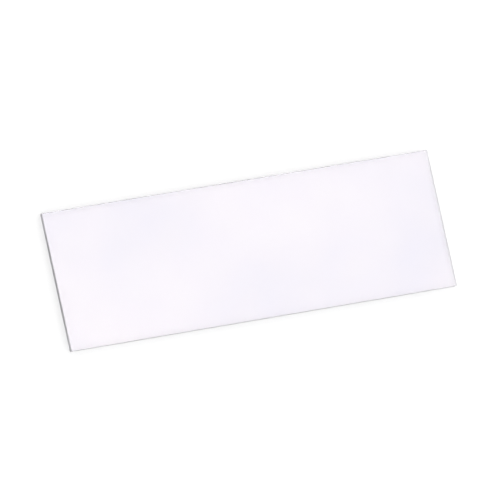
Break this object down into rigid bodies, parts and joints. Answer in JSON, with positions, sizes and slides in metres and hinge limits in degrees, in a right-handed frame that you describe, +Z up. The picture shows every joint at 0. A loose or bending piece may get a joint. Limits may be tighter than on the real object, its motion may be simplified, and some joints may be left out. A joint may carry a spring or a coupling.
{
  "type": "microscope slide",
  "caption": "Plain clear glass microscope slide: a thin flat rectangular plate with ground edges that carries a specimen under a microscope.",
  "frame": {"origin": "middle of the underside, on the surface that the slide lies on", "axes": "+X along the long side, +Y along the short side, +Z up through the thickness to the specimen face"},
  "size_m": [0.0762, 0.0254, 0.0011],
  "materials": {
    "clear_glass": "polished faces, finely ground matt edges"
  },
  "bodies": {
    "root": {"glass_slide": "clear_glass"}
  },
  "joints": []
}
